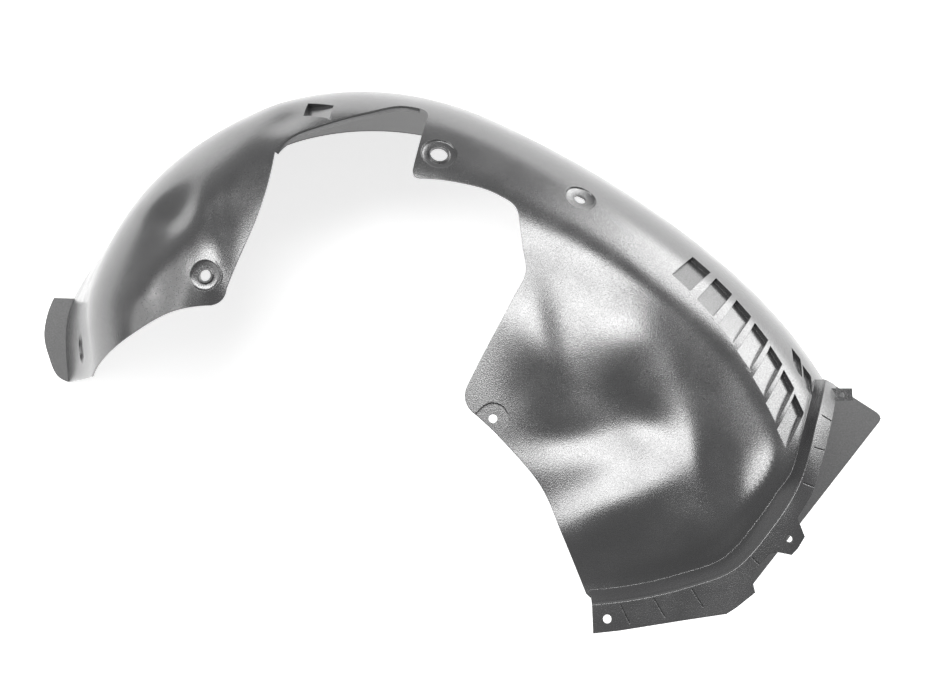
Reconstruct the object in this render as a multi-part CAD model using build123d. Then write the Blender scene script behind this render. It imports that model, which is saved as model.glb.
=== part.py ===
"""Wheel arch liner: one formed plastic sheet that covers the inside of a car's wheel arch.

Plan positions are (X, Y) in millimetres from the wheel's axle. Z runs along the axle, from the rim that
meets the wing at Z 0 up to the flat inner wall. Angles are degrees about the axle, from +X towards +Y.
"""
from build123d import *
from math import atan2, cos, degrees, exp, hypot, pi, radians, sin, sqrt, tan
import os

# Sheet and main form
SHEET = 2.5
WALL_HEIGHT = 280.0
SHOULDER_RADIUS = 150.0
ARCH_RADIUS = 329.0

# The arch opens out towards the front end, and draws in towards the rear, most of all at its tip
RUNOUT = 380.0
RUNOUT_ANGLE = -1.6
RUNOUT_SPREAD = 15.7
TAIL_PULL = 50.0
TAIL_FROM = 105.0
TAIL_SPAN = 65.0
TIP_PULL = 16.0
TIP_FROM = 166.0
TIP_SPAN = 18.0

# Draft of the tread band, in degrees, with the flare of its two ends
BAND_DRAFT = 2.0
FRONT_FLARE = 12.0
FRONT_FLARE_FROM = 60.0
REAR_FLARE = 22.0
REAR_FLARE_FROM = 110.0
FLARE_SPAN = 60.0

# Extent of the formed skin before it is trimmed
SKIN_FROM_ANGLE = -62.0
SKIN_TO_ANGLE = 196.0
SKIN_INNER_RADIUS = 70.0
RIM_MARGIN = 12.0
SKIN_SECTIONS = 37
TURN_STEPS = 6
WALL_STEPS = 6
STEP = 0.5

# Soft swells of the inner wall: plan X, plan Y, height, half-width along and across, turn
SWELLS = [
    (300.0, -205.0, 9.0, 95.0, 46.0, 6.0),
    (215.0, -50.0, -6.0, 42.0, 40.0, 0.0),
    (318.0, -42.0, -6.0, 34.0, 44.0, 0.0),
    (-188.0, 142.0, -7.0, 30.0, 26.0, 50.0),
    (-112.0, 205.0, -8.0, 20.0, 46.0, 20.0),
]

# Crest of the arch in the plan drawing below, all of which moves in and out with ARCH_RADIUS
PLAN_CREST = (0.0, 329.0)

# Trim outline of the inner wall in plan, from the rear tip round the strut opening to the front foot
TIP = (-304.0, -24.0)
ARM_LOWER = [TIP, (-282.0, -10.5), (-241.0, 11.0), (-193.0, 34.0), (-148.0, 40.0)]
ARM_CORNER = [(-148.0, 40.0), (-137.0, 45.0), (-131.0, 59.0)]
ARM_INNER = [(-131.0, 59.0), (-117.0, 100.0), (-102.0, 142.0), (-91.0, 183.0), (-85.0, 222.0)]
STRUT_TOP = [(-85.0, 222.0), (-69.0, 241.0), (-33.0, 257.0), (18.0, 275.0), (61.0, 288.0), (78.0, 285.0)]
EAR_CORNER = [(78.0, 285.0), (87.0, 277.0), (86.0, 264.0)]
EAR_EDGE = [(86.0, 264.0), (73.0, 200.0)]
EAR_TIP = [(73.0, 200.0), (74.0, 190.0), (84.0, 187.0)]
EAR_LOWER = [(84.0, 187.0), (122.0, 183.0), (168.0, 169.0), (188.0, 154.0), (192.0, 138.0)]
WALL_EDGE = [(192.0, 138.0), (196.0, 105.0), (199.0, 80.0), (184.0, 48.0), (150.0, -16.0), (134.0, -48.0)]
WALL_NOSE = [(134.0, -48.0), (131.5, -63.0), (140.0, -78.0)]
WALL_LOWER = [(140.0, -78.0), (184.0, -121.0), (213.0, -157.0), (237.0, -213.0), (264.0, -280.0)]

# The band's two end edges in plan, run on past its foot
REAR_EDGE = [(-900.0, 111.0), TIP]
FRONT_EDGE_FOOT = (606.0, 0.0)

# Border flange: bend line in plan from the front foot to the arch's end, joggle and lean of its riser
BEND_LINE = [(266.0, -282.0), (364.0, -265.0), (414.0, -247.0), (457.0, -203.0), (486.0, -161.0),
             (515.0, -86.0), (535.0, -39.0)]
JOGGLE = 16.0
RISER_LEAN = 8.0
FLANGE_OUTLINE = [(535.0, -36.0), (552.0, -40.0), (544.0, -60.0), (533.0, -88.0), (519.0, -125.0),
                  (509.0, -152.0), (501.0, -169.0), (485.0, -192.0), (492.0, -212.0), (484.0, -224.0),
                  (477.0, -231.0), (462.0, -228.0), (453.0, -230.0), (433.0, -251.0), (437.0, -270.0),
                  (416.0, -286.0), (406.0, -292.0), (358.0, -299.0), (294.0, -309.0), (266.0, -312.0)]
STATIONS = 15
FLANGE_FROM_ANGLE = -56.0
FLANGE_TO_ANGLE = 6.0
FLANGE_SECTIONS = 15

# Score lines across the flange: place along the bend line and lean, in degrees
SCORE_WIDTH = 1.4
SCORE_LENGTH = 22.0
SCORE_DEPTH = 1.4
SCORE_START = 3.0
SCORE_LINES = [(0.07, 19.0), (0.16, 18.0), (0.262, 16.0), (0.445, 1.0), (0.69, 7.0), (0.79, 10.0),
               (0.885, 9.0)]

# Level front tab on the flange's outer edge, with the length of it inside the flange and its hole's reach
TAB_PLACE = (545.0, -53.0)
TAB_LENGTH = 24.0
TAB_WIDTH = 14.0
TAB_ROOT = 4.0
TAB_REACH = 8.0

# Flat pieces of the rim
STRIP_OUTLINE = [(-413.0, 107.0), (-421.0, 82.0), (-423.0, 56.0), (-416.0, 30.0), (-399.0, 0.0),
                 (-388.0, -5.0)]
STRIP_INNER = [(-362.0, 8.0), (-376.0, 60.0), (-372.0, 106.0)]
FLAP_OUTLINE = [(566.0, 6.0), (601.0, -2.0), (674.0, -50.0), (496.0, -264.0), (486.0, -256.0),
                (566.0, -150.0), (584.0, -70.0)]
FLAP_CORNER = 9.0

# Fixing holes: plan position, hole diameter, dish radius
ARM_HOLE = ((-155.0, 73.0), 12.5, 17.0)
EAR_HOLE = ((102.0, 219.0), 20.0, 20.0)
SHOULDER_HOLE = ((263.0, 171.0), 13.5, 18.0)
TIP_HOLE = ((-336.0, 18.0), 6.5, 17.0)
DISHED_HOLES = [ARM_HOLE, EAR_HOLE, SHOULDER_HOLE, TIP_HOLE]
DISH_DEPTH = 3.0
DISH_WALL = 2.5
NOSE_HOLE = ((162.0, -84.0), 9.5)
FOOT_HOLE = ((281.0, -297.0), 9.0)
CORNER_HOLE = ((475.0, -214.0), 7.0)
TAB_HOLE = 5.0

# Pocket round the nose hole, open to the trimmed edge
NOSE_RADIUS = 17.0
NOSE_DEPTH = 4.0
NOSE_OPEN = 40.0
NOSE_TURN = -135.0

# Louvre pockets: two rows, each along an arc in plan, their ends more and more skewed; step at the shallow end
LOUVRE_ROW = [(387.0, 83.0), (451.0, 0.0), (488.0, -86.0)]
LOUVRE_COUNT = 7
LOUVRE_CROWDING = 0.13
LOUVRE_LENGTH = 50.0
LOUVRE_WIDTH_FIRST = 27.0
LOUVRE_WIDTH_LAST = 19.0
LOUVRE_DEPTH = 8.0
LOUVRE_TURN_FIRST = 46.0
LOUVRE_TURN_LAST = 55.0
LOUVRE_SKEW = 0.7
UPPER_ROW = [(506.0, -17.0), (518.0, -39.0)]
UPPER_LENGTH = 34.0
UPPER_WIDTH = 12.0
UPPER_TURN = 70.0
POCKET_STEP = 1.5

# Pinched pocket on the arm's crest, beside the strut opening
PINCH_PLACE = (-40.0, 282.0)
PINCH_LENGTH = 30.0
PINCH_WIDTH = 22.0
PINCH_DEPTH = 7.0
PINCH_TURN = 160.0

# Lip turned down along the top of the strut opening
LIP_DROP = 9.0
LIP_LEAN = 3.0

# Depth below the skin at which a dish's wall and a pocket's wall join the sheet, and how far cuts run past it
DISH_JOIN = 0.8 * SHEET
POCKET_JOIN = 0.5 * SHEET
OUT = 900.0
OVER = 30.0


def ease(t):
    """Smooth step from 0 to 1."""
    t = min(1.0, max(0.0, t))
    return t * t * (3 - 2 * t)


def draft(angle):
    """Draft of the tread band at an angle round the axle."""
    front = FRONT_FLARE * ease((FRONT_FLARE_FROM - angle) / FLARE_SPAN)
    rear = REAR_FLARE * ease((angle - REAR_FLARE_FROM) / FLARE_SPAN)
    return radians(BAND_DRAFT + front + rear)


def corner_radius(angle):
    """Radius at which the band and the inner wall would meet in a sharp corner."""
    runout = RUNOUT / (1 + exp((angle - RUNOUT_ANGLE) / RUNOUT_SPREAD))
    tail = TAIL_PULL * ease((angle - TAIL_FROM) / TAIL_SPAN)
    return ARCH_RADIUS + runout - tail - TIP_PULL * ease((angle - TIP_FROM) / TIP_SPAN)


def profile(angle, lift):
    """Slope, height, shoulder radius, start of the shoulder and foot of the section, grown by lift."""
    slope = draft(angle)
    height = WALL_HEIGHT + lift
    turn = SHOULDER_RADIUS + lift
    corner = corner_radius(angle) + lift * (1 / cos(slope) - tan(slope))
    start = corner - turn * tan((pi / 2 - slope) / 2)
    foot = corner + height * tan(slope)
    return slope, height, turn, start, foot


def placed(point):
    """A point of the plan drawing, moved out with the arch."""
    grow = 1 + (ARCH_RADIUS - PLAN_CREST[1]) / hypot(*point)
    return (point[0] * grow, point[1] * grow)


def drawn(points):
    """A row of points of the plan drawing, moved out with the arch."""
    return [placed(point) for point in points]


def swell(x, y):
    """Height of the soft swells at a plan position."""
    total = 0.0
    for px, py, height, along, across, turn in SWELLS:
        at_x, at_y = placed((px, py))
        dx, dy = x - at_x, y - at_y
        c, s = cos(radians(turn)), sin(radians(turn))
        total += height * exp(-((dx * c + dy * s) / along) ** 2 - ((dy * c - dx * s) / across) ** 2)
    return total


def crest(angle, lift):
    """Height at which the band turns into the shoulder."""
    slope, height, turn, start, foot = profile(angle, lift)
    return height - turn + turn * sin(slope)


def swollen(x, y, z, angle, lift):
    """Height of a point of the plain form with the swells added, which fade out down the shoulder."""
    top = crest(angle, lift)
    return z + ease((z - top) / (WALL_HEIGHT + lift - top)) * swell(x, y)


def skin_height(x, y, lift=0.0):
    """Height of the outer skin over a plan position, grown by lift."""
    angle = degrees(atan2(y, x))
    if angle < SKIN_TO_ANGLE - 360:
        angle += 360
    slope, height, turn, start, foot = profile(angle, lift)
    reach = hypot(x, y) - start
    if reach <= 0:
        plain = height
    elif reach < turn * cos(slope):
        plain = height - turn + sqrt(turn ** 2 - reach ** 2)
    else:
        plain = (foot - start - reach) / tan(slope)
    return swollen(x, y, plain, angle, lift)


def on_skin(place, lift=0.0):
    """Point of the skin over a plan position."""
    return Vector(place[0], place[1], skin_height(place[0], place[1], lift))


def skin_plane(place, turn=0.0, lift=0.0):
    """Frame on the skin: Z along its outward normal, X along a plan direction."""
    x, y = place
    slope_x = (skin_height(x + STEP, y, lift) - skin_height(x - STEP, y, lift)) / (2 * STEP)
    slope_y = (skin_height(x, y + STEP, lift) - skin_height(x, y - STEP, lift)) / (2 * STEP)
    run_x, run_y = cos(radians(turn)), sin(radians(turn))
    along = (run_x, run_y, run_x * slope_x + run_y * slope_y)
    return Plane(origin=on_skin(place, lift), x_dir=along, z_dir=(-slope_x, -slope_y, 1))


def section(angle, lift):
    """Points of one section: the band's two ends, the shoulder, and the wall up to its middle."""
    slope, height, turn, start, foot = profile(angle, lift)
    top = crest(angle, lift)
    band = [(foot + RIM_MARGIN * tan(slope), -RIM_MARGIN), (foot - top * tan(slope), top)]
    shoulder = []
    for i in range(TURN_STEPS + 1):
        bend = slope + (pi / 2 - slope) * i / TURN_STEPS
        shoulder.append((start + turn * cos(bend), height - turn + turn * sin(bend)))
    wall = []
    for i in range(WALL_STEPS + 1):
        wall.append((start + (SKIN_INNER_RADIUS - start) * i / WALL_STEPS, height))
    c, s = cos(radians(angle)), sin(radians(angle))
    rows = []
    for row in (band, shoulder, wall):
        rows.append([Vector(r * c, r * s, swollen(r * c, r * s, z, angle, lift)) for r, z in row])
    return rows


def section_edges(angle, lift):
    """One side of a section as three smoothly joined edges."""
    band, shoulder, wall = section(angle, lift)
    rise = (band[1] - band[0]).normalized()
    turn_in = (wall[1] - shoulder[-2]).normalized()
    run = (wall[-1] - wall[-2]).normalized()
    return [
        Edge.make_line(*band),
        Edge.make_spline(shoulder, [rise, turn_in], parameters=even(TURN_STEPS)),
        Edge.make_spline(wall, [turn_in, run], parameters=even(WALL_STEPS)),
    ]


def even(steps):
    """Evenly spread curve parameters."""
    return [i / steps for i in range(steps + 1)]


def sheet(lift, first, last, count):
    """The formed sheet between two angles, lofted through closed sections."""
    wires = []
    for k in range(count):
        angle = first + (last - first) * k / (count - 1)
        outer = section_edges(angle, lift)
        inner = section_edges(angle, lift - SHEET)
        ends = [Edge.make_line(outer[0] @ 0, inner[0] @ 0), Edge.make_line(outer[-1] @ 1, inner[-1] @ 1)]
        wires.append(Wire([*outer, ends[1], *inner[::-1], ends[0]]))
    return Solid.make_loft(wires)


def joined(curves):
    """All edges of a row of curves."""
    return [edge for curve in curves for edge in curve.edges()]


def prism(curves):
    """Everything over a closed plan outline, from the rim up."""
    return extrude(make_face(joined(curves)), amount=WALL_HEIGHT + JOGGLE + OVER)


def ribbon(top, foot):
    """A strip of sheet between two rows of points."""
    wires = []
    for i in range(len(top)):
        ahead = top[min(i + 1, len(top) - 1)] - top[max(i - 1, 0)]
        half = (foot[i] - top[i]).cross(ahead).normalized() * (SHEET / 2)
        wires.append(Wire.make_polygon([top[i] + half, foot[i] + half, foot[i] - half, top[i] - half]))
    return Solid.make_loft(wires)


def beside(curve, distance):
    """Plan points spread evenly along a curve, moved to its left."""
    moved = []
    for i in range(STATIONS):
        at = curve @ (i / (STATIONS - 1))
        along = curve % (i / (STATIONS - 1))
        moved.append((at.X - along.Y * distance, at.Y + along.X * distance))
    return moved


def through(frame, diameter):
    """Round hole along a frame's Z."""
    return frame * Cylinder(diameter / 2, 2 * OVER)


def dish(place, diameter, ring):
    """Boss below the skin for a dished fixing hole, and its recess with the hole."""
    frame = skin_plane(placed(place))
    floor = DISH_DEPTH + SHEET
    up = (Align.CENTER, Align.CENTER, Align.MIN)
    boss = frame * Pos(0, 0, -floor) * Cylinder(ring + DISH_WALL, floor - DISH_JOIN, align=up)
    recess = frame * Pos(0, 0, -DISH_DEPTH) * Cylinder(ring, DISH_DEPTH + OVER, align=up)
    return boss, recess + through(frame, diameter)


def pocket(place, turn, skew, length, width, depth):
    """Boss and hollow of a wedge pocket, shallow at one end and deep at the other, its ends skewed."""
    frame = skin_plane(place, turn)
    across = frame.y_dir + frame.x_dir * skew
    near = frame.origin + frame.x_dir * (-length / 2)
    far = frame.origin + frame.x_dir * (length / 2)
    near_sag = frame.to_local_coords(on_skin((near.X, near.Y))).Z
    far_sag = frame.to_local_coords(on_skin((far.X, far.Y))).Z
    half = length / 2
    side = frame * Plane.XZ
    floor = [(-half, near_sag - POCKET_STEP), (half, far_sag - depth)]
    under = [(-half - SHEET, near_sag - POCKET_STEP - SHEET), (half + SHEET, far_sag - depth - SHEET)]
    top = [(half + SHEET, far_sag - POCKET_JOIN), (0, -POCKET_JOIN), (-half - SHEET, near_sag - POCKET_JOIN)]
    wall = make_face(Polyline(*under, *top, close=True))
    boss = extrude(side * wall, (width / 2 + SHEET) * across.length, dir=across, both=True)
    over = [(half, OVER), (-half, OVER)]
    space = make_face(Polyline(*floor, *over, close=True))
    hollow = extrude(side * space, width / 2 * across.length, dir=across, both=True)
    return boss, hollow


# Inner wall, shoulder and band, trimmed to the plan outline
bend = Spline(*drawn(BEND_LINE))
base_edge = Spline(*beside(bend, RISER_LEAN - SHEET / 2))
trim = [ARM_LOWER, ARM_CORNER, ARM_INNER, STRUT_TOP, EAR_CORNER, EAR_EDGE, EAR_TIP, EAR_LOWER,
        WALL_EDGE, WALL_NOSE, WALL_LOWER]
outline = [Spline(*drawn(points)) for points in trim]
outline.append(Line(placed(WALL_LOWER[-1]), base_edge @ 0))
outline.append(base_edge)
outer = [(OUT, 0), (OUT, OUT), (-OUT, OUT)]
outline.append(Polyline(base_edge @ 1, placed(FRONT_EDGE_FOOT), *outer, *drawn(REAR_EDGE)))
plan = prism(outline)
base = sheet(0.0, SKIN_FROM_ANGLE, SKIN_TO_ANGLE, SKIN_SECTIONS) & plan

# Border flange, joined to the wall by its riser
flange_edge = Spline(*beside(bend, SHEET / 2))
rim = Polyline(flange_edge @ 1, *drawn(FLANGE_OUTLINE), flange_edge @ 0)
flange = sheet(JOGGLE, FLANGE_FROM_ANGLE, FLANGE_TO_ANGLE, FLANGE_SECTIONS) & prism([flange_edge, rim])
riser_top = [on_skin(place, JOGGLE - SHEET / 2) for place in beside(bend, 0.0)]
riser_foot = [on_skin(place, -SHEET / 2) for place in beside(bend, RISER_LEAN)]
riser = ribbon(riser_top, riser_foot)

# Lip along the strut opening
strut_top = Spline(*drawn(STRUT_TOP))
lip_top = [on_skin(place, -SHEET / 2) for place in beside(strut_top, 0.0)]
lip_foot = [on_skin(place, -SHEET / 2) - Vector(0, 0, LIP_DROP) for place in beside(strut_top, -LIP_LEAN)]
lip = ribbon(lip_top, lip_foot)

# Flat rim pieces
strip_outer = drawn(STRIP_OUTLINE)
strip_rim = [Spline(*strip_outer), Polyline(strip_outer[-1], *drawn(STRIP_INNER), strip_outer[0])]
strip = extrude(make_face(joined(strip_rim)), SHEET)
flap_face = make_face(Polyline(*drawn(FLAP_OUTLINE), close=True))
flap = extrude(fillet(flap_face.vertices().sort_by(Axis.X)[-1], FLAP_CORNER), SHEET)

# Front tab
tab_frame = Pos(on_skin(placed(TAB_PLACE), JOGGLE))
tab = tab_frame * Pos(TAB_LENGTH / 2 - TAB_ROOT, 0, -SHEET / 2) * Box(TAB_LENGTH, TAB_WIDTH, SHEET)

# Dishes, louvres and pockets, each a wall added below the skin and a hollow cut from above
formed = [dish(*hole) for hole in DISHED_HOLES]
louvre_row = Spline(*drawn(LOUVRE_ROW))
for k in range(LOUVRE_COUNT):
    t = k / (LOUVRE_COUNT - 1)
    at = louvre_row @ (t + LOUVRE_CROWDING * t * (1 - t))
    width = LOUVRE_WIDTH_FIRST + (LOUVRE_WIDTH_LAST - LOUVRE_WIDTH_FIRST) * t
    turn = LOUVRE_TURN_FIRST + (LOUVRE_TURN_LAST - LOUVRE_TURN_FIRST) * t
    formed.append(pocket((at.X, at.Y), turn, LOUVRE_SKEW * t, LOUVRE_LENGTH, width, LOUVRE_DEPTH))
for place in UPPER_ROW:
    formed.append(pocket(placed(place), UPPER_TURN, LOUVRE_SKEW, UPPER_LENGTH, UPPER_WIDTH, LOUVRE_DEPTH))
formed.append(pocket(placed(PINCH_PLACE), PINCH_TURN, 0.0, PINCH_LENGTH, PINCH_WIDTH, PINCH_DEPTH))

# Nose pocket, open to the trimmed edge
nose_place, nose_hole = NOSE_HOLE
nose_frame = skin_plane(placed(nose_place), NOSE_TURN)
nose_floor = NOSE_DEPTH + SHEET
nose_shape = Circle(NOSE_RADIUS) + Pos(NOSE_OPEN / 2, 0) * Rectangle(NOSE_OPEN, 2 * NOSE_RADIUS)
nose_boss = extrude(nose_frame * Pos(0, 0, -nose_floor) * offset(nose_shape, SHEET), nose_floor - POCKET_JOIN)
nose_cut = extrude(nose_frame * Pos(0, 0, -NOSE_DEPTH) * nose_shape, OVER)
formed.append((nose_boss & plan, nose_cut))

# Plain holes, and the score lines
cuts = [through(nose_frame, nose_hole)]
for place, diameter in (FOOT_HOLE, CORNER_HOLE):
    cuts.append(through(skin_plane(placed(place), 0.0, JOGGLE), diameter))
cuts.append(tab_frame * Pos(TAB_REACH, 0, 0) * Cylinder(TAB_HOLE / 2, 2 * SHEET))
for t, lean in SCORE_LINES:
    at = bend @ t
    along = bend % t
    turn = atan2(-along.X, along.Y) + radians(lean)
    middle = SCORE_START + SCORE_LENGTH / 2
    score_frame = skin_plane((at.X + middle * cos(turn), at.Y + middle * sin(turn)), degrees(turn), JOGGLE)
    cuts.append(score_frame * Box(SCORE_LENGTH, SCORE_WIDTH, 2 * SCORE_DEPTH))

added = [solid for boss, hollow in formed for solid in boss.solids()]
taken = [solid for boss, hollow in formed for solid in hollow.solids()]
liner = base.fuse(riser, flange, lip, strip, flap, tab, *added)
liner = liner.cut(*taken, *[solid for cut in cuts for solid in cut.solids()])

# The liner lies on its rim, centred on its outline, whose furthest points are all on edges
box = Compound(liner.edges()).bounding_box()
liner = Pos(-box.center().X, -box.center().Y, -box.min.Z) * liner
os.makedirs("parts", exist_ok=True)
export_step(liner, "parts/wheel_arch_liner.step")
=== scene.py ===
"""Wheel arch liner: one formed sheet of satin black plastic, lying on its rim on a white studio floor."""

import math

import bpy
import numpy as np
from bpy.props import FloatProperty, FloatVectorProperty, IntProperty, PointerProperty
from bpy.types import Operator, Panel, PropertyGroup
from mathutils import Matrix, Vector


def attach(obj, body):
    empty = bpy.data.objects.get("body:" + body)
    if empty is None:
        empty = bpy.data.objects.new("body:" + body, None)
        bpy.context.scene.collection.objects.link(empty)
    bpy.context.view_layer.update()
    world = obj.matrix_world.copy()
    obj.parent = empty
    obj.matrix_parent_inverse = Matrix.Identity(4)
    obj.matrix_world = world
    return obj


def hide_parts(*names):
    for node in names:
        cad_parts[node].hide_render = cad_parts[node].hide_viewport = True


bl_info = {
    "name": "Wheel Arch Liner",
    "version": (1, 0, 0),
    "blender": (4, 5, 0),
    "location": "3D View > Sidebar > Liner",
    "description": "Forms, trims and finishes a moulded wheel arch liner",
    "category": "Object",
}

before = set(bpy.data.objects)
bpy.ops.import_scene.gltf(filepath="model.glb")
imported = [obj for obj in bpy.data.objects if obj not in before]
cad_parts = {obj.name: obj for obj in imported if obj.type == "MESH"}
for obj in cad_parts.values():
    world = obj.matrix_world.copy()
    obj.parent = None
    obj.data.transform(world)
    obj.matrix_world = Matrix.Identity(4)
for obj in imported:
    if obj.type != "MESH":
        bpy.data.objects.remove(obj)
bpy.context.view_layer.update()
NODE = "wheel_arch_liner"
LINER = "liner_skin"
MM = 0.001

# The wheel's axle in the frame, in metres; plan positions below are millimetres from it
AXLE = Vector((-0.123156, -0.01396, 0.0))

# Draft of the tread band: the least, then gain, starting angle and sweep to the front and to the rear
LEAST_DRAFT = 2
FRONT_DRAFT = (12, 60, 60)
REAR_DRAFT = (22, 110, 60)

# Arch radius: how it runs out to the front (gain, angle, spread) and shrinks to the rear and at the tip
FRONT_RUNOUT = (380, 1.6, 15.7)
REAR_SHRINK = [(50, 105, 65), (16, 166, 18)]

# A position at a lower angle than this belongs to the rear tip
REAR_TURN = -164

# Grid of the skin: sweep round the axle, reach of the wall to the axle, start below the rim, and rows
SKIN_SWEEP = (-62, 196, 345)
SKIN_REACH = 118
LEAST_WALL = 5
BELOW_RIM = -12
BAND_ROWS, SHOULDER_ROWS, WALL_ROWS = 17, 41, 60

# Steps along a stretch of a plan curve, plain and dense, round a turned form and round the nose pocket
CURVE_STEPS, DENSE_STEPS, ROUND_STEPS, NOSE_STEPS = 8, 24, 48, 25

# Trim outline of the inner wall in plan, from the rear tip round the strut opening to the front foot
TIP = (-304, -24)
ARM_LOWER = [TIP, (-282, -10.5), (-241, 11), (-193, 34), (-148, 40)]
ARM_CORNER = [(-148, 40), (-137, 45), (-131, 59)]
ARM_INNER = [(-131, 59), (-117, 100), (-102, 142), (-91, 183), (-85, 222)]
STRUT_TOP = [(-85, 222), (-69, 241), (-33, 257), (18, 275), (61, 288), (78, 285)]
EAR_CORNER = [(78, 285), (87, 277), (86, 264)]
EAR_EDGE = [(86, 264), (73, 200)]
EAR_TIP = [(73, 200), (74, 190), (84, 187)]
EAR_LOWER = [(84, 187), (122, 183), (168, 169), (188, 154), (192, 138)]
WALL_EDGE = [(192, 138), (196, 105), (199, 80), (184, 48), (150, -16), (134, -48)]
WALL_NOSE = [(134, -48), (131.5, -63), (140, -78)]
WALL_LOWER = [(140, -78), (184, -121), (213, -157), (237, -213), (264, -280)]
TRIM = [ARM_LOWER, ARM_CORNER, ARM_INNER, STRUT_TOP, EAR_CORNER, EAR_EDGE, EAR_TIP, EAR_LOWER,
        WALL_EDGE, WALL_NOSE, WALL_LOWER]
OUT = 900
FRONT_FOOT = (606, 0)
REAR_EDGE_END = (-900, 111)
OUTER_SIDE = [FRONT_FOOT, (OUT, 0), (OUT, OUT), (-OUT, OUT), REAR_EDGE_END]

# Heights between which the outlines trim: from the floor or from above the rim, to above the wall
FLOOR_CUT, RIM_CUT, TOP_CUT = 0, 100, 330

# Border flange in plan: its bend line and its outer outline
BEND_LINE = [(266, -282), (364, -265), (414, -247), (457, -203), (486, -161), (515, -86), (535, -39)]
FLANGE_OUTLINE = [(535, -36), (552, -40), (544, -60), (533, -88), (519, -125), (509, -152), (501, -169),
                  (485, -192), (492, -212), (484, -224), (477, -231), (462, -228), (453, -230), (433, -251),
                  (437, -270), (416, -286), (406, -292), (358, -299), (294, -309), (266, -312)]
BEND_STATIONS, BORDER_STATIONS, SCORE_STATIONS = 60, 140, 400

# Section of the border across the bend line: distance towards the wall, and share of the joggle
BORDER_SECTION = [(18, -0.233), (12, 0.178), (7.5, 0.487), (4, 0.726), (1.8, 0.877), (0.8, 0.96),
                  (-0.4, 1.0), (-4, 1.0), (-14, 1.0), (-26, 1.0), (-36, 1.0), (-50, 1.0)]

# Underside of the border against its top: aside and down
BORDER_UNDER = (-1.5, -2.2)

# How far the border runs past the first and the last end of the bend line, to be trimmed
BORDER_OVERRUN = (6, 5)

# Where the border's foot and the skin's edge lie, measured from the bend line towards the wall
BORDER_FOOT, SKIN_EDGE = 17.5, 6.0

# Flange and foot get narrower towards the upper end: share lost, start and length along the line
FLANGE_NARROWING = (0.45, 0.6, 0.15)
FOOT_NARROWING = (0.35, 0.62, 0.1)

# Tab at the upper end of the flange: place, outline from there, offset of its hole and its diameter
TAB_PLACE = (545, -53)
TAB_OUTLINE = [(-4, -7), (20, -7), (20, 7), (-4, 7)]
TAB_HOLE = (8, 5)

# Score lines across the flange: place along the bend line and lean in degrees
SCORE_LINES = [(0.07, 19), (0.16, 18), (0.262, 16), (0.445, 1), (0.69, 7), (0.79, 10), (0.885, 9)]
SCORE_MIDDLE, SCORE_HALF_LENGTH, SCORE_DEPTH = 14, 11, 1.4

# Turned lip along the top of the strut opening: distance into the opening and drop, outside and inside
LIP_OUTSIDE = [(-4, -0.9), (0, -0.9), (1.8, -2.2), (3.0, -5), (3.6, -9)]
LIP_INSIDE = [(-4, -2.0), (-0.6, -2.4), (0.3, -3.8), (1.0, -5.6), (1.6, -9)]
LIP_STATIONS = 60

# What hangs below the lip's knee fades out at both ends: share kept, share gained, stations it takes
LIP_KNEE = 3.8
LIP_TAPER = (0.3, 0.7, 8)

# Dished fixing holes: plan position, hole diameter, dish radius, width of the collar round the hole
DISHED_HOLES = [((-155, 73), 12.5, 17, 3.5), ((102, 219), 20, 20, 3.0), ((263, 171), 13.5, 18, 0),
                ((-336, 18), 6.5, 17, 0)]
COLLAR_DROP = 1.2

# Side of a dish as distance from its radius and height over its floor, then its mouth over the skin
DISH_SIDE = [(-2.5, 0), (-1, 0.5), (0, 1.6)]
DISH_MOUTH = [(0.8, 0), (2.5, 3), (2.5, 10)]

# Wall under a dish: how far its underside and its side stand out, and the share of the sheet it enters
DISH_UNDERSIDE, DISH_WALL, DISH_JOIN = 1.0, 2.5, 0.8

# Plain holes: plan position and diameter
FLANGE_HOLES = [((281, -297), 9), ((475, -214), 7)]
NOSE_HOLE = ((162, -84), 9.5)

# Depth and height of the cuts for holes in the skin, in the flange and in the tab, and of score lines
SKIN_DRILL, FLANGE_DRILL, TAB_DRILL, SCORE_OPEN = (-14, 8), (-8, 8), (-6, 6), 8

# Long louvre row: its line, stations along it, how the spacing tightens, then turn, skew and width,
# each with its change along the row
LOUVRE_ROW = [(387, 83), (451, 0), (488, -86)]
LOUVRE_STATIONS = 200
LOUVRE_SPACING = 0.13
LOUVRE_TURN, LOUVRE_SKEW, LOUVRE_WIDTH = (46, 9), 0.7, (27, 8)

# Upper louvres: places, then turn, skew, length, width and share of the louvre depth
UPPER_ROW = [(505.5, -16), (516, -36.5)]
UPPER_LOUVRE = (60, 0.6, 30, 14, 0.7)

# Pinched pocket over the strut opening: place, turn, skew, length, width and depth
PINCHED_POCKET = ((-40, 281), 150, -0.35, 36, 26, 7)

# Pockets: drop at the shallow end, share of the sheet that the wall enters, height of the open hollow
POCKET_STEP, POCKET_JOIN, POCKET_OPEN = 1.5, 0.5, 12

# Nose pocket: turn, radius, depth and run to the edge; the side that its wall keeps to, a little inside
NOSE_TURN, NOSE_RADIUS, NOSE_DEPTH, NOSE_RUN = -135, 17, 4, 40
NOSE_SIDE = [(266, -282), (400, 0), (200, 330), (-300, 200)]
NOSE_INSET = Vector((0.5, 0.4))

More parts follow.
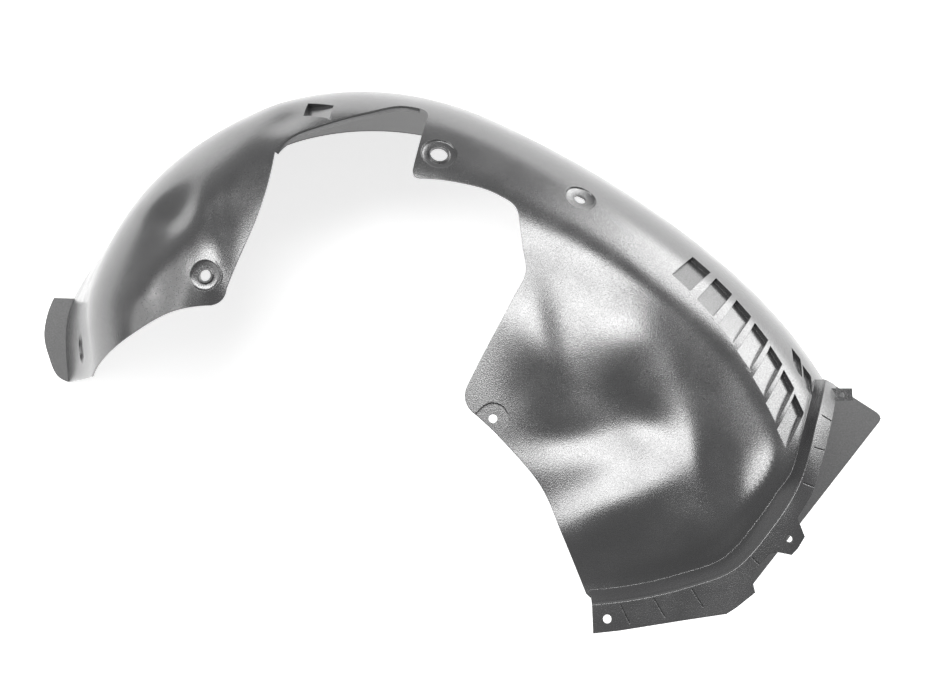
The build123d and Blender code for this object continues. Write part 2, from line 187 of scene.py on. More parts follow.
# Soft swells of the wall and the arm: plan X, plan Y, height, half-width along and across, turn
SWELLS = [
    (209, -3, 8.7, 76, 32, -77), (256, -106, -3, 67, 24, 6), (297, -177, 6.6, 93, 31, 30),
    (318, -84, -3, 28, 30, 37), (311, -43, -1.3, 24, 50, 139), (359, -197, 7.2, 95, 53, 0),
    (474, -158, 6, 42, 30, 62), (275, -119, 4.8, 82, 45, 9),
    (382, -135, 5.7, 33, 87, 11), (228, -90, -3.5, 94, 30, -81), (315, 0, 9, 76, 66, 113),
    (-207, 151, -7.7, 27, 22, -3), (-155, 141, 8.1, 22, 83, 9), (-202, 80, -4.7, 21, 66, 168),
    (-77, 270, -9, 22, 31, -57), (-182, 263, -8.7, 37, 95, 45), (-188, 102, 9, 95, 47, -43),
    (-180, 128, 6.5, 20, 95, 150), (-179, 140, -8.9, 40, 95, -60),
]

# Distance from the bend line at which the swells start, and over which they grow to full height
SWELL_START, SWELL_GROWTH = 14, 20

# Flat rim pieces in plan, and the height of their underside over the floor
STRIP_OUTER = [(-413, 107), (-421, 82), (-423, 56), (-416, 30), (-399, 0), (-388, -5)]
STRIP_INNER = [(-362, 8), (-376, 60), (-372, 106)]
FLAP = [(566, 6), (601, -2), (665, -45), (668.5, -49), (669.4, -53), (667.5, -57), (496, -264), (486, -256),
        (566, -150), (584, -70)]
RIM_UNDERSIDE = 0.03

# Finish: points closer than this are one, in millimetres, and faces at a smaller angle shade smoothly
MERGE_DISTANCE = 0.01
SMOOTH_ANGLE = 28

# Plastic: scale and detail of the moulded grain and of the gloss's mottling, and the values they span
GRAIN_NOISE, MOTTLE_NOISE, NOISE_SPAN = (700, 3), (22, 4), (0.3, 0.7)
SPECKLE = (0.40, 0.62)
MOTTLE = (-0.04, 0.05)
GRAIN_HEIGHT = 0.0004
EDGE_SAMPLES = 6

# Heights over the floor, in metres, between which the rim's roughness gives way to the wall's
RIM_HEIGHTS = (0.003, 0.006)

# Camera: point it looks at from the axle, distance in metres, and elevation in degrees
CAMERA_LENS, CAMERA_SENSOR = 50, 36
CAMERA_TARGET = (0.1425, 0.0056, 0.280)
CAMERA_DISTANCE, CAMERA_ELEVATION = 1.45, 80

# White floor
FLOOR_SIZE = 40
FLOOR_COLOUR = (0.9, 0.9, 0.9, 1)
FLOOR_ROUGHNESS = 0.9
FLOOR_GLOW = 0.7
WHITE = (1, 1, 1, 1)

# Soft lamps round the liner's middle: name, distance, direction, point they face, sizes in metres, watts
MIDDLE = (0.13, 0, 0.28)
LAMPS = [
    ("overhead box", 1, (-2.0, 2.7, 8.0), (-2.0, 2.7, 0), 8.2, 2.9, 640),
    ("side box", 6, (0.72, 0.62, 0.32), (0, 0, 0), 4.6, 4.6, 400),
    ("left box", 6, (-0.75, -0.1, 0.65), (0, 0, 0), 4, 4, 80),
]

# Surroundings: strength from the first rise over the horizon to the second
SKY_RISE, SKY_STRENGTH = (0.1, 0.8), (0.6, 0.2)


class LinerShape(PropertyGroup):
    """Sizes of the liner."""
    sheet: FloatProperty(
        name="Sheet", description="Thickness of the plastic sheet", default=0.0025, unit="LENGTH")
    wall_height: FloatProperty(
        name="Wall height", description="Height of the inner wall above the rim", default=0.28,
        unit="LENGTH")
    shoulder: FloatProperty(
        name="Shoulder", description="Radius of the shoulder", default=0.15, unit="LENGTH")
    arch: FloatProperty(
        name="Arch", description="Radius of the arch at its crest", default=0.329, unit="LENGTH")
    joggle: FloatProperty(
        name="Joggle", description="Height of the border flange over the wall", default=0.016,
        unit="LENGTH")
    dish_depth: FloatProperty(
        name="Dish depth", description="Depth of the dishes round the fixing holes", default=0.003,
        unit="LENGTH")
    louvre_depth: FloatProperty(
        name="Louvre depth", description="Depth of a louvre at its stepped end", default=0.006,
        unit="LENGTH")
    louvre_length: FloatProperty(
        name="Louvre length", description="Length of a louvre pocket", default=0.05, unit="LENGTH")
    louvre_count: IntProperty(
        name="Louvres", description="Louvres in the long row", default=7)
    score_width: FloatProperty(
        name="Score width", description="Width of the score lines across the border flange",
        default=0.0014, unit="LENGTH")


class LinerFinish(PropertyGroup):
    """Colours and gloss."""
    colour: FloatVectorProperty(
        name="Plastic", description="Colour of the plastic", subtype="COLOR", size=4, min=0, max=1,
        default=(0.038, 0.038, 0.039, 1))
    roughness: FloatProperty(
        name="Roughness", description="Mean roughness of the plastic", default=0.22, min=0, max=1)
    rim_roughness: FloatProperty(
        name="Rim roughness", description="Roughness of the flat rim pieces", default=0.6, min=0, max=1)
    ior: FloatProperty(
        name="Gloss", description="Index of refraction, which sets the strength of the gloss", default=2.0)
    edge: FloatProperty(
        name="Edge", description="Radius of the softened edges", default=0.0009, unit="LENGTH")
    grain: FloatProperty(
        name="Grain", description="Strength of the moulded grain", default=0.26, min=0, max=1)


def ease(t):
    """Smooth step from 0 to 1."""
    t = np.clip(t, 0.0, 1.0)
    return t * t * (3 - 2 * t)


def draft(angle):
    """Draft of the tread band in radians, round the axle in degrees."""
    front, front_start, front_sweep = FRONT_DRAFT
    rear, rear_start, rear_sweep = REAR_DRAFT
    return np.radians(LEAST_DRAFT + front * ease((front_start - angle) / front_sweep)
                      + rear * ease((angle - rear_start) / rear_sweep))


def corner_radius(angle):
    """Radius at which band and wall would meet in a sharp corner, in millimetres."""
    gain, offset, spread = FRONT_RUNOUT
    radius = bpy.context.scene.liner_shape.arch / MM + gain / (1 + np.exp((angle + offset) / spread))
    for loss, start, sweep in REAR_SHRINK:
        radius = radius - loss * ease((angle - start) / sweep)
    return radius


def profile(angle, lift):
    """Slope, height, shoulder radius, start of the shoulder and foot of the section, grown by lift."""
    shape = bpy.context.scene.liner_shape
    slope = draft(angle)
    height = shape.wall_height / MM + lift
    turn = shape.shoulder / MM + lift
    corner = corner_radius(angle) + lift * (1 / np.cos(slope) - np.tan(slope))
    start = corner - turn * np.tan((np.pi / 2 - slope) / 2)
    foot = corner + height * np.tan(slope)
    return slope, height, turn, start, foot


def clear_of_border(x, y):
    """0 on the border flange, rising to 1 on the wall."""
    at, direction = along_curve(BEND_LINE, BEND_STATIONS)
    gap_x = np.asarray(x)[..., None] - at[:, 0]
    gap_y = np.asarray(y)[..., None] - at[:, 1]
    nearest = np.argmin(gap_x ** 2 + gap_y ** 2, axis=-1)[..., None]
    gap_x = np.take_along_axis(gap_x, nearest, -1)[..., 0]
    gap_y = np.take_along_axis(gap_y, nearest, -1)[..., 0]
    nearest = nearest[..., 0]
    inside = gap_y * direction[nearest, 0] - gap_x * direction[nearest, 1]
    away = np.hypot(gap_x, gap_y) * np.where(inside < 0, -1, 1)
    return ease((away - SWELL_START) / SWELL_GROWTH)


def swell(x, y):
    """Height of the soft swells at plan positions."""
    total = np.zeros_like(x)
    for px, py, height, along, across, turn in SWELLS:
        c, s = math.cos(math.radians(turn)), math.sin(math.radians(turn))
        dx, dy = x - px, y - py
        total += height * np.exp(-((dx * c + dy * s) / along) ** 2 - ((dy * c - dx * s) / across) ** 2)
    return total * clear_of_border(x, y)


def swollen(x, y, z, angle, lift):
    """Heights of the plain form with the swells, which fade out down the shoulder."""
    slope, height, turn = profile(angle, lift)[:3]
    top = height - turn + turn * np.sin(slope)
    return z + ease((z - top) / (height - top)) * swell(x, y)


def skin_height(x, y, lift=0.0):
    """Height of the skin over plan positions, in millimetres."""
    x, y = np.asarray(x, float), np.asarray(y, float)
    angle = np.degrees(np.arctan2(y, x))
    angle = np.where(angle < REAR_TURN, angle + 360, angle)
    slope, height, turn, start, foot = profile(angle, lift)
    reach = np.hypot(x, y) - start
    over = np.sqrt(np.maximum(turn ** 2 - reach ** 2, 0))
    band = (foot - start - reach) / np.tan(slope)
    plain = np.where(reach < turn * np.cos(slope), height - turn + over, band)
    plain = np.where(reach <= 0, height, plain)
    return swollen(x, y, plain, angle, lift)


def on_skin(place, lift=0.0):
    """Point of the skin over a plan position, in millimetres from the axle."""
    return Vector((place[0], place[1], float(skin_height(place[0], place[1], lift))))


def skin_matrix(place, turn=0.0, lift=0.0):
    """Placement on the skin: Z along its outward normal, X along a plan direction in degrees."""
    x, y = place
    step = 0.5
    slope_x = float(skin_height(x + step, y, lift) - skin_height(x - step, y, lift)) / (2 * step)
    slope_y = float(skin_height(x, y + step, lift) - skin_height(x, y - step, lift)) / (2 * step)
    z_axis = Vector((-slope_x, -slope_y, 1)).normalized()
    run = Vector((math.cos(math.radians(turn)), math.sin(math.radians(turn)), 0))
    x_axis = (run - z_axis * run.dot(z_axis)).normalized()
    y_axis = z_axis.cross(x_axis)
    axes = Matrix((x_axis, y_axis, z_axis)).transposed().to_4x4()
    return Matrix.Translation(on_skin(place, lift)) @ axes


def curve(points, steps=CURVE_STEPS):
    """Points of a smooth plan curve through the given ones."""
    p = [Vector(q) for q in points]
    if len(p) == 2:
        return p
    tangents = [None] * len(p)
    for i in range(1, len(p) - 1):
        before, after = p[i] - p[i - 1], p[i + 1] - p[i]
        a, b = before.length, after.length
        tangents[i] = (before / a * b + after / b * a) / (a + b)
    tangents[0] = (p[1] - p[0]).normalized() * 2 - tangents[1]
    tangents[-1] = (p[-1] - p[-2]).normalized() * 2 - tangents[-2]
    out = []
    for i in range(len(p) - 1):
        span = (p[i + 1] - p[i]).length
        for k in range(steps):
            t = k / steps
            h0, h1 = 2 * t ** 3 - 3 * t ** 2 + 1, t ** 3 - 2 * t ** 2 + t
            h2, h3 = -2 * t ** 3 + 3 * t ** 2, t ** 3 - t ** 2
            out.append(p[i] * h0 + tangents[i] * (h1 * span) + p[i + 1] * h2 + tangents[i + 1] * (h3 * span))
    out.append(p[-1])
    return out


def along_curve(points, count):
    """Evenly spread points and unit directions along a plan curve."""
    dense = np.array([tuple(q) for q in curve(points, DENSE_STEPS)])
    run = np.concatenate([[0], np.cumsum(np.hypot(*np.diff(dense, axis=0).T))])
    at = np.linspace(0, run[-1], count)
    x, y = np.interp(at, run, dense[:, 0]), np.interp(at, run, dense[:, 1])
    direction = np.stack([np.gradient(x), np.gradient(y)], 1)
    direction /= np.linalg.norm(direction, axis=1)[:, None]
    return np.stack([x, y], 1), direction


def bend_line(count):
    """Evenly spread points of the bend line, with unit directions along it and towards the wall."""
    at, direction = along_curve(BEND_LINE, count)
    return at, direction, np.stack([-direction[:, 1], direction[:, 0]], 1)


def trim_outline():
    """Plan outline of the inner wall, smooth along each of its stretches."""
    return [q for points in TRIM for q in curve(points)[:-1]]


def narrowing(count, loss, start, length):
    """Shares of a width that shrinks along a line."""
    return 1 - loss * ease((np.linspace(0, 1, count) - start) / length)


def only(ob):
    """Makes an object the one that is selected and active."""
    bpy.ops.object.select_all(action="DESELECT")
    ob.select_set(True)
    bpy.context.view_layer.objects.active = ob


def new_object(name, verts, faces):
    """A mesh object at the origin, selected."""
    mesh = bpy.data.meshes.new(name)
    mesh.from_pydata([tuple(v) for v in verts], [], faces)
    mesh.update()
    ob = bpy.data.objects.new(name, mesh)
    bpy.context.collection.objects.link(ob)
    only(ob)
    return ob


def outward():
    """Turns the active mesh's faces outwards."""
    bpy.ops.object.mode_set(mode="EDIT")
    bpy.ops.mesh.select_all(action="SELECT")
    bpy.ops.mesh.normals_make_consistent(inside=False)
    bpy.ops.object.mode_set(mode="OBJECT")


def extruded(name, outline, along):
    """A solid: a flat outline drawn out along a vector."""
    ob = new_object(name, outline, [list(range(len(outline)))])
    bpy.ops.object.mode_set(mode="EDIT")
    bpy.ops.mesh.select_all(action="SELECT")
    bpy.ops.mesh.extrude_region_move(TRANSFORM_OT_translate={"value": tuple(along)})
    bpy.ops.object.mode_set(mode="OBJECT")
    outward()
    return ob


def plan_prism(name, outline, low, high):
    """A solid over a plan outline between two heights, all in millimetres."""
    return extruded(name, [(q[0], q[1], low) for q in outline], (0, 0, high - low))


def grid_faces(rows, columns):
    """Four-sided faces of a grid of points."""
    faces = []
    for i in range(rows - 1):
        for j in range(columns - 1):
            a = i * columns + j
            faces.append((a, a + 1, a + columns + 1, a + columns))
    return faces


def patch(name, grid, thickness):
    """A sheet from a grid of outer points, thickened inwards."""
    ob = new_object(name, grid.reshape(-1, 3), grid_faces(*grid.shape[:2]))
    if sum(face.normal.z * face.area for face in ob.data.polygons) < 0:
        bpy.ops.object.mode_set(mode="EDIT")
        bpy.ops.mesh.select_all(action="SELECT")
        bpy.ops.mesh.flip_normals()
        bpy.ops.object.mode_set(mode="OBJECT")
    solid = ob.modifiers.new("Sheet", "SOLIDIFY")
    solid.thickness = thickness
    solid.offset = -1
    solid.use_even_offset = True
    bpy.ops.object.modifier_apply(modifier="Sheet")
    return ob


def slab(name, top, under):
    """A closed sheet between two grids of points."""
    rows, columns = top.shape[:2]
    count = rows * columns
    faces = []
    for face in grid_faces(rows, columns):
        faces.append(face)
        faces.append(tuple(count + v for v in reversed(face)))
    edge = list(range(columns)) + [i * columns + columns - 1 for i in range(1, rows)]
    edge += [(rows - 1) * columns + j for j in range(columns - 2, -1, -1)]
    edge += [i * columns for i in range(rows - 2, 0, -1)]
    for k in range(len(edge)):
        a, b = edge[k], edge[(k + 1) % len(edge)]
        faces.append((b, a, count + a, count + b))
    ob = new_object(name, np.concatenate([top.reshape(-1, 3), under.reshape(-1, 3)]), faces)
    outward()
    return ob


def turned(name, section, matrix, steps=ROUND_STEPS):
    """A solid turned about its own Z, from a section that starts and ends on the axis."""
    verts, faces = [], []
    inner = section[1:-1]
    verts.append((0, 0, section[0][1]))
    for r, z in inner:
        for k in range(steps):
            a = 2 * math.pi * k / steps
            verts.append((r * math.cos(a), r * math.sin(a), z))
    verts.append((0, 0, section[-1][1]))
    last = len(verts) - 1
    for k in range(steps):
        n = (k + 1) % steps
        faces.append((0, 1 + n, 1 + k))
        for i in range(len(inner) - 1):
            a, b = 1 + i * steps, 1 + (i + 1) * steps
            faces.append((a + k, a + n, b + n, b + k))
        a = 1 + (len(inner) - 1) * steps
        faces.append((a + k, a + n, last))
    ob = new_object(name, [matrix @ Vector(v) for v in verts], faces)
    outward()
    return ob


def drill(diameter, heights, matrix):
    """Body of a round hole between two heights."""
    low, high = heights
    return turned("hole", [(0, low), (diameter / 2, low), (diameter / 2, high), (0, high)], matrix)


def joined(name, obs):
    """Unites solids into one."""
    for ob in obs[1:]:
        boolean(obs[0], ob, "UNION")
    obs[0].name = name
    return obs[0]


def boolean(target, tool, operation):
    """Joins, cuts or crosses a solid with another, which is used up."""
    before = len(target.data.polygons)
    only(target)
    step = target.modifiers.new("Form", "BOOLEAN")
    step.operation = operation
    step.solver = "EXACT"
    step.object = tool
    bpy.ops.object.modifier_apply(modifier="Form")
    bpy.data.objects.remove(tool)
    after = len(target.data.polygons)
    if not after or (operation != "INTERSECT" and after < before / 2):
        raise RuntimeError(f"{target.name} has lost its faces")


def skin_grid():
    """Points of the skin round the axle: band, shoulder and wall."""
    rows = []
    for angle in np.linspace(*SKIN_SWEEP):
        slope, height, turn, start, foot = profile(angle, 0.0)
        top = height - turn + turn * math.sin(slope)
        z = np.linspace(BELOW_RIM, top, BAND_ROWS)[:-1]
        r = foot - z * math.tan(slope)
        bend = np.linspace(slope, math.pi / 2, SHOULDER_ROWS)[:-1]
        wall = np.linspace(start, min(SKIN_REACH, start - LEAST_WALL), WALL_ROWS)
        r = np.concatenate([r, start + turn * np.cos(bend), wall])
        z = np.concatenate([z, height - turn + turn * np.sin(bend), np.full(WALL_ROWS, height)])
        x, y = r * math.cos(math.radians(angle)), r * math.sin(math.radians(angle))
        rows.append(np.stack([x, y, swollen(x, y, z, angle, 0.0)], 1))
    return np.array(rows)


class LINER_OT_skin(Operator):
    """Forms the skin and trims it to the outline"""
    bl_idname = "liner.skin"
    bl_label = "Form the skin"

    def execute(self, context):
        skin = patch(LINER, skin_grid(), context.scene.liner_shape.sheet / MM)
        at, _, inward = bend_line(BEND_STATIONS)
        outline = trim_outline()
        outline += [Vector(q) for q in at + inward * SKIN_EDGE]
        outline += [Vector(q) for q in OUTER_SIDE]
        boolean(skin, plan_prism("outline", outline, FLOOR_CUT, TOP_CUT), "INTERSECT")
        return {"FINISHED"}


def flange(joggle):
    """Border flange with its riser, trimmed to its outline."""
    at, direction, inward = bend_line(BORDER_STATIONS)
    before, after = BORDER_OVERRUN
    at = np.concatenate([[at[0] - direction[0] * before], at, [at[-1] + direction[-1] * after]])
    inward = np.concatenate([inward[:1], inward, inward[-1:]])
    reach = narrowing(len(at), *FLANGE_NARROWING)
    foot = narrowing(len(at), *FOOT_NARROWING)
    top, under = [], []
    for distance, share in BORDER_SECTION:
        for rows, aside, drop in ((top, 0.0, 0.0), (under, *BORDER_UNDER)):
            across = np.where(distance < 0, distance * reach, distance * foot) + aside
            q = at + inward * across[:, None]
            low, high = skin_height(q[:, 0], q[:, 1], 0.0), skin_height(q[:, 0], q[:, 1], joggle)
            rows.append(np.stack([q[:, 0], q[:, 1], low * (1 - share) + high * share + drop], 1))
    border = slab("border", np.array(top), np.array(under))
    at, _, inward = bend_line(BEND_STATIONS)
    rim = [Vector(q) for q in at + inward * BORDER_FOOT] + [Vector(q) for q in FLANGE_OUTLINE]
    boolean(border, plan_prism("rim", rim, RIM_CUT, TOP_CUT), "INTERSECT")
    return border


def score(at, direction, lean, joggle, width):
    """Body of a score line that crosses the flange from a point of the bend line."""
    turn = math.atan2(-direction[0], direction[1]) + math.radians(lean)
    middle = at + SCORE_MIDDLE * np.array((math.cos(turn), math.sin(turn)))
    matrix = skin_matrix(middle, math.degrees(turn), joggle)
    half = width / 2
    corners = [(-SCORE_HALF_LENGTH, -half), (SCORE_HALF_LENGTH, -half),
               (SCORE_HALF_LENGTH, half), (-SCORE_HALF_LENGTH, half)]
    points = [matrix @ Vector((a, b, -SCORE_DEPTH)) for a, b in corners]
    return extruded("score", points, matrix.to_3x3() @ Vector((0, 0, SCORE_OPEN)))


def lip():
    """Turned lip along the top of the strut opening."""
    edge, run = along_curve(STRUT_TOP, LIP_STATIONS)
    inward = np.stack([run[:, 1], -run[:, 0]], 1)
    level = skin_height(edge[:, 0], edge[:, 1])
    station = np.arange(LIP_STATIONS)
    kept, gained, length = LIP_TAPER
    taper = kept + gained * ease(np.minimum(station, LIP_STATIONS - 1 - station) / length)
    sides = []
    for section in (LIP_OUTSIDE, LIP_INSIDE):
        rows = []
        for across, drop in section:
            q = edge + inward * across
            height = np.where(across < 0, skin_height(q[:, 0], q[:, 1]), level)
            hang = height + max(drop, -LIP_KNEE) + min(drop + LIP_KNEE, 0) * taper
            rows.append(np.stack([q[:, 0], q[:, 1], hang], 1))
        sides.append(np.array(rows))
    return slab("lip", *sides)


class LINER_OT_border(Operator):
    """Adds the border flange with its riser, tab, holes and score lines, and the strut opening's lip"""
    bl_idname = "liner.border"
    bl_label = "Add the border"

    def execute(self, context):
        shape = context.scene.liner_shape
        joggle = shape.joggle / MM
        border = flange(joggle)
        root = on_skin(TAB_PLACE, joggle)
        tab = [(root.x + a, root.y + b) for a, b in TAB_OUTLINE]
        boolean(border, plan_prism("tab", tab, root.z - shape.sheet / MM, root.z), "UNION")
        holes = []
        for place, diameter in FLANGE_HOLES:
            holes.append(drill(diameter, FLANGE_DRILL, skin_matrix(place, 0, joggle)))
        offset, diameter = TAB_HOLE
        holes.append(drill(diameter, TAB_DRILL, Matrix.Translation(root + Vector((offset, 0, 0)))))
        at, direction = along_curve(BEND_LINE, SCORE_STATIONS)
        for t, lean in SCORE_LINES:
            k = int(round(t * (SCORE_STATIONS - 1)))
            holes.append(score(at[k], direction[k], lean, joggle, shape.score_width / MM))
        boolean(border, joined("holes", holes), "DIFFERENCE")
        boolean(bpy.data.objects[LINER], border, "UNION")
        boolean(bpy.data.objects[LINER], lip(), "UNION")
        return {"FINISHED"}


class LINER_OT_rim(Operator):
    """Adds the flat rim strip and the front flap"""
    bl_idname = "liner.rim"
    bl_label = "Add the rim pieces"

    def execute(self, context):
        sheet = context.scene.liner_shape.sheet / MM
        outline = curve(STRIP_OUTER) + [Vector(q) for q in STRIP_INNER]
        strip = plan_prism("strip", outline, RIM_UNDERSIDE, sheet)
        flap = plan_prism("flap", [Vector(q) for q in FLAP], RIM_UNDERSIDE, sheet)
        for piece in (strip, flap):
            boolean(bpy.data.objects[LINER], piece, "UNION")
        return {"FINISHED"}


def pocket(place, turn, skew, length, width, depth, sheet):
    """Wall and hollow of a wedge pocket, shallow at one end and deep at the other, its ends skewed."""
    matrix = skin_matrix(place, turn)
    back = matrix.inverted()
    ends = []
    for side in (-0.5, 0.5):
        foot = matrix @ Vector((side * length, 0, 0))
        ends.append((back @ on_skin((foot.x, foot.y))).z)
    near, far = ends
    half, join = length / 2, POCKET_JOIN * sheet
    wall = [(-half - sheet, near - POCKET_STEP - sheet), (half + sheet, far - depth - sheet),
            (half + sheet, far - join), (0, -join), (-half - sheet, near - join)]
    hollow = [(-half, near - POCKET_STEP), (half, far - depth), (half, POCKET_OPEN), (-half, POCKET_OPEN)]
    bodies = (("pocket wall", wall, width / 2 + sheet), ("pocket hollow", hollow, width / 2))
    solids = []
    for name, outline, spread in bodies:
        points = [matrix @ Vector((a - skew * spread, -spread, c)) for a, c in outline]
        solids.append(extruded(name, points, matrix.to_3x3() @ Vector((2 * skew * spread, 2 * spread, 0))))
    return solids


def louvres(shape):
    """Places and sizes of the louvres and of the pinched pocket."""
    depth = shape.louvre_depth / MM
    row, _ = along_curve(LOUVRE_ROW, LOUVRE_STATIONS)
    turn, turn_gain = LOUVRE_TURN
    width, width_loss = LOUVRE_WIDTH
    sizes = []
    for k in range(shape.louvre_count):
        t = k / (shape.louvre_count - 1)
        place = row[int(round((t + LOUVRE_SPACING * t * (1 - t)) * (LOUVRE_STATIONS - 1)))]
        sizes.append((place, turn + turn_gain * t, LOUVRE_SKEW * t, shape.louvre_length / MM,
                      width - width_loss * t, depth))
    *upper, share = UPPER_LOUVRE
    for place in UPPER_ROW:
        sizes.append((place, *upper, share * depth))
    sizes.append(PINCHED_POCKET)
    return sizes


def dish(matrix, diameter, ring, collar, depth, sheet):
    """Wall and hollow of the dish round a fixing hole."""
    wall = [(0, -depth - sheet), (ring + DISH_UNDERSIDE, -depth - sheet), (ring + DISH_WALL, -depth),
            (ring + DISH_WALL, -DISH_JOIN * sheet), (0, -DISH_JOIN * sheet)]
    middle = [(0, -depth)]
    if collar:
        outer = diameter / 2 + collar
        middle = [(0, -COLLAR_DROP), (outer - COLLAR_DROP, -COLLAR_DROP), (outer, -depth)]
    hollow = middle + [(ring + a, -depth + rise) for a, rise in DISH_SIDE]
    hollow += [(ring + a, rise) for a, rise in DISH_MOUTH] + [(0, DISH_MOUTH[-1][1])]
    return turned("dish wall", wall, matrix), turned("dish", hollow, matrix)


def nose_pocket(matrix, sheet):
    """Wall and hollow of the round-ended pocket that opens at the nose's edge."""
    bodies = ((sheet, -NOSE_DEPTH - sheet, -POCKET_JOIN * sheet), (0, -NOSE_DEPTH, POCKET_OPEN))
    solids = []
    for grow, low, high in bodies:
        r = NOSE_RADIUS + grow
        angles = np.linspace(math.pi / 2, 3 * math.pi / 2, NOSE_STEPS)
        arc = [(r * math.cos(a), r * math.sin(a)) for a in angles]
        outline = [(NOSE_RUN, r)] + arc + [(NOSE_RUN, -r)]
        points = [matrix @ Vector((a, b, low)) for a, b in outline]
        solids.append(extruded("nose", points, matrix.to_3x3() @ Vector((0, 0, high - low))))
    # the wall ends just inside the trimmed edge
    edge = [q + NOSE_INSET for q in trim_outline() + [Vector(q) for q in NOSE_SIDE]]
    boolean(solids[0], plan_prism("outline", edge, RIM_CUT, TOP_CUT), "INTERSECT")
    return solids


class LINER_OT_pockets(Operator):
    """Presses the louvres, the pinched pocket, the dishes and the nose pocket, and cuts the fixing holes"""
    bl_idname = "liner.pockets"
    bl_label = "Press the pockets"

    def execute(self, context):
        shape = context.scene.liner_shape
        sheet = shape.sheet / MM
        pressed, holes = [], []
        for sizes in louvres(shape):
            pressed.append(pocket(*sizes, sheet))
        for place, diameter, ring, collar in DISHED_HOLES:
            matrix = skin_matrix(place)
            pressed.append(dish(matrix, diameter, ring, collar, shape.dish_depth / MM, sheet))
            holes.append(drill(diameter, SKIN_DRILL, matrix))
        place, diameter = NOSE_HOLE
        matrix = skin_matrix(place, NOSE_TURN)
        pressed.append(nose_pocket(matrix, sheet))
        holes.append(drill(diameter, SKIN_DRILL, matrix))
        liner = bpy.data.objects[LINER]
        for wall, _ in pressed:
            boolean(liner, wall, "UNION")
        for _, hollow in pressed:
            boolean(liner, hollow, "DIFFERENCE")
        boolean(liner, joined("holes", holes), "DIFFERENCE")
        return {"FINISHED"}


def noise(tree, place, scale, detail):
    """A fine irregular pattern on the piece's own coordinates."""
    node = tree.nodes.new("ShaderNodeTexNoise")
    node.inputs["Scale"].default_value = scale
    node.inputs["Detail"].default_value = detail
    tree.links.new(place, node.inputs["Vector"])
    return node.outputs["Fac"]


def remap(tree, value, span, result):
    """A value carried from one span to another."""
    node = tree.nodes.new("ShaderNodeMapRange")
    node.inputs["From Min"].default_value, node.inputs["From Max"].default_value = span
    node.inputs["To Min"].default_value, node.inputs["To Max"].default_value = result
    tree.links.new(value, node.inputs["Value"])
    return node.outputs["Result"]


def height_of(tree, place):
    """The Z share of a position or direction."""
    node = tree.nodes.new("ShaderNodeSeparateXYZ")
    tree.links.new(place, node.inputs["Vector"])
    return node.outputs["Z"]


def plastic(finish):
    """Satin black plastic with a fine moulded grain."""
    material = bpy.data.materials.new("satin black plastic")
    material.use_nodes = True
    tree = material.node_tree
    nodes, links = tree.nodes, tree.links
    shader = nodes["Principled BSDF"]
    shader.inputs["Base Color"].default_value = finish.colour
    shader.inputs["IOR"].default_value = finish.ior
    place = nodes.new("ShaderNodeTexCoord").outputs["Object"]
    grain = noise(tree, place, *GRAIN_NOISE)
    mottle = noise(tree, place, *MOTTLE_NOISE)
    links.new(remap(tree, grain, NOISE_SPAN, SPECKLE), shader.inputs["Specular IOR Level"])

    rough = nodes.new("ShaderNodeMath")
    rough.operation = "MAXIMUM"
    gloss = remap(tree, mottle, NOISE_SPAN, [finish.roughness + change for change in MOTTLE])
    rim = remap(tree, height_of(tree, place), RIM_HEIGHTS, (finish.rim_roughness, 0.0))
    links.new(gloss, rough.inputs[0])
    links.new(rim, rough.inputs[1])
    links.new(rough.outputs["Value"], shader.inputs["Roughness"])

    soft = nodes.new("ShaderNodeBevel")
    soft.samples = EDGE_SAMPLES
    soft.inputs["Radius"].default_value = finish.edge
    bump = nodes.new("ShaderNodeBump")
    bump.inputs["Strength"].default_value = finish.grain
    bump.inputs["Distance"].default_value = GRAIN_HEIGHT
    links.new(grain, bump.inputs["Height"])
    links.new(soft.outputs["Normal"], bump.inputs["Normal"])
    links.new(bump.outputs["Normal"], shader.inputs["Normal"])
    return material


class LINER_OT_finish(Operator):
    """Closes the liner's mesh, sets it at its size and place, shades it and gives it its plastic"""
    bl_idname = "liner.finish"
    bl_label = "Finish the liner"

    def execute(self, context):
        liner = bpy.data.objects[LINER]
        only(liner)
        bpy.ops.object.mode_set(mode="EDIT")
        bpy.ops.mesh.select_all(action="SELECT")
        bpy.ops.mesh.remove_doubles(threshold=MERGE_DISTANCE)
        bpy.ops.mesh.select_all(action="DESELECT")
        bpy.ops.mesh.select_mode(type="EDGE")
        bpy.ops.mesh.select_non_manifold()
        bpy.ops.mesh.fill_holes(sides=0)
        bpy.ops.object.mode_set(mode="OBJECT")
        liner.scale = (MM, MM, MM)
        liner.location = AXLE
        bpy.ops.object.transform_apply(location=True, rotation=False, scale=True)
        bpy.ops.object.shade_smooth_by_angle(angle=math.radians(SMOOTH_ANGLE))
        liner.data.materials.clear()
        liner.data.materials.append(plastic(context.scene.liner_finish))
        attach(liner, "root")
        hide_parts(NODE)
        return {"FINISHED"}


def area(name, place, target, size_x, size_y, power):
    """A soft rectangular lamp."""
    lamp = bpy.data.lights.new(name, "AREA")
    lamp.shape = "RECTANGLE"
    lamp.size = size_x
    lamp.size_y = size_y
    lamp.energy = power
    ob = bpy.data.objects.new(name, lamp)
    bpy.context.collection.objects.link(ob)
    ob.location = place
    ob.rotation_euler = (target - place).to_track_quat("-Z", "Y").to_euler()


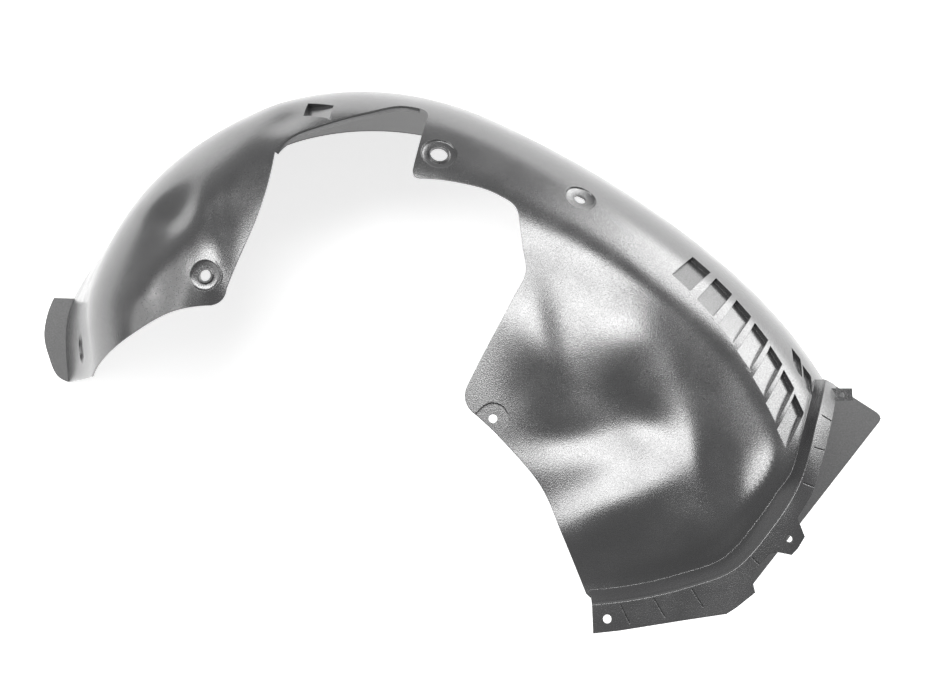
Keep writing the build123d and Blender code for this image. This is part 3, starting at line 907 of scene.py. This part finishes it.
class LINER_OT_stage(Operator):
    """Adds the floor, the lamps, the world and the camera"""
    bl_idname = "liner.stage"
    bl_label = "Set the stage"

    def execute(self, context):
        scene = context.scene
        camera = bpy.data.cameras.new("camera")
        camera.lens = CAMERA_LENS
        camera.sensor_width = CAMERA_SENSOR
        cam = bpy.data.objects.new("camera", camera)
        bpy.context.collection.objects.link(cam)
        target = AXLE + Vector(CAMERA_TARGET)
        lift = math.radians(CAMERA_ELEVATION)
        cam.location = target + CAMERA_DISTANCE * Vector((0, -math.cos(lift), math.sin(lift)))
        cam.rotation_euler = (math.radians(90 - CAMERA_ELEVATION), 0, 0)
        scene.camera = cam

        bpy.ops.object.select_all(action="DESELECT")
        bpy.ops.mesh.primitive_plane_add(size=FLOOR_SIZE)
        floor = bpy.context.object
        floor.name = "floor"
        white = bpy.data.materials.new("white floor")
        white.use_nodes = True
        shader = white.node_tree.nodes["Principled BSDF"]
        shader.inputs["Base Color"].default_value = FLOOR_COLOUR
        shader.inputs["Roughness"].default_value = FLOOR_ROUGHNESS
        shader.inputs["Emission Color"].default_value = WHITE
        shader.inputs["Emission Strength"].default_value = FLOOR_GLOW
        floor.data.materials.append(white)

        middle = AXLE + Vector(MIDDLE)
        for name, away, direction, faced, size_x, size_y, power in LAMPS:
            area(name, middle + away * Vector(direction), middle + Vector(faced), size_x, size_y, power)

        world = bpy.data.worlds.new("studio")
        scene.world = world
        world.use_nodes = True
        tree = world.node_tree
        sky = tree.nodes["Background"]
        sky.inputs["Color"].default_value = WHITE
        rise = height_of(tree, tree.nodes.new("ShaderNodeTexCoord").outputs["Generated"])
        tree.links.new(remap(tree, rise, SKY_RISE, SKY_STRENGTH), sky.inputs["Strength"])
        scene.view_settings.view_transform = "Standard"
        return {"FINISHED"}


class LINER_PT_panel(Panel):
    """Lists the steps and sizes of the liner"""
    bl_idname = "LINER_PT_panel"
    bl_label = "Wheel Arch Liner"
    bl_space_type = "VIEW_3D"
    bl_region_type = "UI"
    bl_category = "Liner"

    def draw(self, context):
        for step in STEPS:
            self.layout.operator(step.bl_idname)
        for group in (context.scene.liner_shape, context.scene.liner_finish):
            for name in group.__annotations__:
                self.layout.prop(group, name)


STEPS = (LINER_OT_skin, LINER_OT_pockets, LINER_OT_border, LINER_OT_rim, LINER_OT_finish, LINER_OT_stage)
CLASSES = (LinerShape, LinerFinish) + STEPS + (LINER_PT_panel,)


def register():
    for cls in CLASSES:
        bpy.utils.register_class(cls)
    bpy.types.Scene.liner_shape = PointerProperty(type=LinerShape)
    bpy.types.Scene.liner_finish = PointerProperty(type=LinerFinish)


def unregister():
    del bpy.types.Scene.liner_finish
    del bpy.types.Scene.liner_shape
    for cls in reversed(CLASSES):
        bpy.utils.unregister_class(cls)


def main():
    register()
    bpy.ops.liner.skin()
    bpy.ops.liner.pockets()
    bpy.ops.liner.border()
    bpy.ops.liner.rim()
    bpy.ops.liner.finish()
    bpy.ops.liner.stage()


if __name__ == "__main__":
    main()
